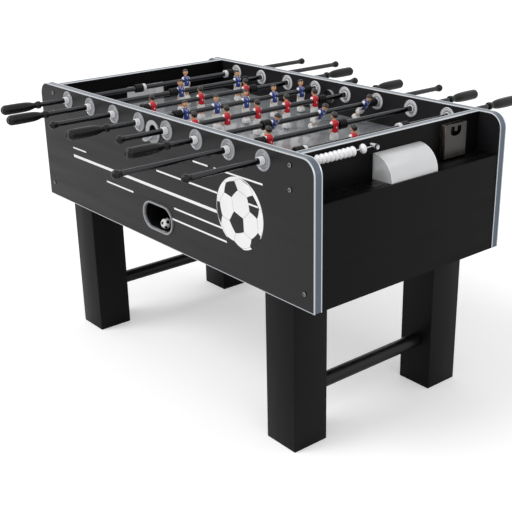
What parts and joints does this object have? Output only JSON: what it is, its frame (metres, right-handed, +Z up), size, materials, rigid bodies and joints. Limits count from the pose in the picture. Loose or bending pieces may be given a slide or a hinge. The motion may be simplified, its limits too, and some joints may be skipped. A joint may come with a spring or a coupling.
{
  "type": "foosball table",
  "caption": "Foosball table on four square legs: sliding, turning player rods across a boxed field, with goals, score beads, ball return and bottle opener.",
  "frame": {"origin": "on the floor, under the middle of the table", "axes": "+X along the cabinet towards the end with the bottle opener, +Y across it along the rods towards the rear panel, +Z up"},
  "size_m": [1.45, 1.4968, 0.91],
  "materials": {
    "black_board": "satin black laminate on fibreboard",
    "leg_board": "satin black laminate on fibreboard",
    "silver_trim": "bright silver T-moulding",
    "field_board": "smooth printed grey board",
    "raw_board": "raw fibreboard",
    "black_metal": "satin black paint",
    "white_moulding": "smooth",
    "silver_moulding": "silver plastic",
    "pale_moulding": "pale translucent plastic",
    "clear_window": "clear plastic",
    "chrome": "polished",
    "rod_chrome": "polished steel tube",
    "white_bead": "white",
    "steel": "brushed",
    "screw_steel": "plated",
    "ball_white": "white",
    "blue_team": "painted",
    "red_team": "painted",
    "grip_black": "satin black",
    "rubber": "black rubber"
  },
  "bodies": {
    "root": {"side_panel_front": "black_board", "side_panel_rear": "black_board", "edge_trims": "silver_trim", "end_wall_left": "black_board", "end_wall_right": "black_board", "end_aprons": "black_board", "end_shelves": "black_board", "playfield": "field_board", "inner_frame": "raw_board", "cabinet_floor": "raw_board", "leg_front_left": "leg_board", "leg_front_right": "leg_board", "leg_rear_left": "leg_board", "leg_rear_right": "leg_board", "leg_ties": "black_metal", "ball_runways": "white_moulding", "ball_return_cup": "silver_moulding", "ball_entry_cups": "pale_moulding", "goal_windows": "clear_window", "rod_bearings": "pale_moulding", "score_rails": "chrome", "bottle_opener": "steel", "fasteners": "screw_steel"},
    "rod_1_bumpers": {"rod_1_bumpers": "rubber"},
    "rod_1": {"rod_1_shaft": "rod_chrome", "rod_1_players": "blue_team", "rod_1_grip": "grip_black"},
    "rod_2_bumpers": {"rod_2_bumpers": "rubber"},
    "rod_2": {"rod_2_shaft": "rod_chrome", "rod_2_players": "blue_team", "rod_2_grip": "grip_black"},
    "rod_3_bumpers": {"rod_3_bumpers": "rubber"},
    "rod_3": {"rod_3_shaft": "rod_chrome", "rod_3_players": "red_team", "rod_3_grip": "grip_black"},
    "rod_4_bumpers": {"rod_4_bumpers": "rubber"},
    "rod_4": {"rod_4_shaft": "rod_chrome", "rod_4_players": "blue_team", "rod_4_grip": "grip_black"},
    "rod_5_bumpers": {"rod_5_bumpers": "rubber"},
    "rod_5": {"rod_5_shaft": "rod_chrome", "rod_5_players": "red_team", "rod_5_grip": "grip_black"},
    "rod_6_bumpers": {"rod_6_bumpers": "rubber"},
    "rod_6": {"rod_6_shaft": "rod_chrome", "rod_6_players": "blue_team", "rod_6_grip": "grip_black"},
    "rod_7_bumpers": {"rod_7_bumpers": "rubber"},
    "rod_7": {"rod_7_shaft": "rod_chrome", "rod_7_players": "red_team", "rod_7_grip": "grip_black"},
    "rod_8_bumpers": {"rod_8_bumpers": "rubber"},
    "rod_8": {"rod_8_shaft": "rod_chrome", "rod_8_players": "red_team", "rod_8_grip": "grip_black"},
    "beads_right_stack": {"beads_right_stack": "white_bead"},
    "beads_right_single": {"beads_right_single": "white_bead"},
    "beads_left": {"beads_left": "white_bead"},
    "ball": {"ball": "ball_white"}
  },
  "joints": [
    {"name": "rod_1_slide", "type": "slide", "parent": "root", "child": "rod_1_bumpers", "axis": [0, 1, 0], "range_m": [-0.23786, 0.01654]},
    {"name": "rod_1_spin", "type": "hinge", "parent": "rod_1_bumpers", "child": "rod_1", "pos_m": [-0.525, 0, 0.868], "axis": [0, 1, 0], "continuous": true},
    {"name": "rod_2_slide", "type": "slide", "parent": "root", "child": "rod_2_bumpers", "axis": [0, 1, 0], "range_m": [-0.28544, 0.06696]},
    {"name": "rod_2_spin", "type": "hinge", "parent": "rod_2_bumpers", "child": "rod_2", "pos_m": [-0.375, 0, 0.868], "axis": [0, 1, 0], "continuous": true},
    {"name": "rod_3_slide", "type": "slide", "parent": "root", "child": "rod_3_bumpers", "axis": [0, 1, 0], "range_m": [-0.07033, 0.14607]},
    {"name": "rod_3_spin", "type": "hinge", "parent": "rod_3_bumpers", "child": "rod_3", "pos_m": [-0.225, 0, 0.868], "axis": [0, 1, 0], "continuous": true},
    {"name": "rod_4_slide", "type": "slide", "parent": "root", "child": "rod_4_bumpers", "axis": [0, 1, 0], "range_m": [-0.09603, 0.02037]},
    {"name": "rod_4_spin", "type": "hinge", "parent": "rod_4_bumpers", "child": "rod_4", "pos_m": [-0.075, 0, 0.868], "axis": [0, 1, 0], "continuous": true},
    {"name": "rod_5_slide", "type": "slide", "parent": "root", "child": "rod_5_bumpers", "axis": [0, 1, 0], "range_m": [-0.02444, 0.09196]},
    {"name": "rod_5_spin", "type": "hinge", "parent": "rod_5_bumpers", "child": "rod_5", "pos_m": [0.075, 0, 0.868], "axis": [0, 1, 0], "continuous": true},
    {"name": "rod_6_slide", "type": "slide", "parent": "root", "child": "rod_6_bumpers", "axis": [0, 1, 0], "range_m": [-0.21099, 0.00541]},
    {"name": "rod_6_spin", "type": "hinge", "parent": "rod_6_bumpers", "child": "rod_6", "pos_m": [0.225, 0, 0.868], "axis": [0, 1, 0], "continuous": true},
    {"name": "rod_7_slide", "type": "slide", "parent": "root", "child": "rod_7_bumpers", "axis": [0, 1, 0], "range_m": [-0.06696, 0.28544]},
    {"name": "rod_7_spin", "type": "hinge", "parent": "rod_7_bumpers", "child": "rod_7", "pos_m": [0.375, 0, 0.868], "axis": [0, 1, 0], "continuous": true},
    {"name": "rod_8_slide", "type": "slide", "parent": "root", "child": "rod_8_bumpers", "axis": [0, 1, 0], "range_m": [-0.07759, 0.17681]},
    {"name": "rod_8_spin", "type": "hinge", "parent": "rod_8_bumpers", "child": "rod_8", "pos_m": [0.525, 0, 0.868], "axis": [0, 1, 0], "continuous": true},
    {"name": "beads_right_stack_slide", "type": "slide", "parent": "root", "child": "beads_right_stack", "axis": [0, 1, 0], "range_m": [-0.0055, 0.0221]},
    {"name": "beads_right_single_slide", "type": "slide", "parent": "root", "child": "beads_right_single", "axis": [0, 1, 0], "range_m": [-0.0221, 0.0233]},
    {"name": "beads_left_slide", "type": "slide", "parent": "root", "child": "beads_left", "axis": [0, -1, 0], "range_m": [-0.0055, 0.0457]},
    {"name": "ball_roll_out", "type": "slide", "parent": "root", "child": "ball", "axis": [0, -1, 0], "range_m": [0, 0.06]}
  ]
}
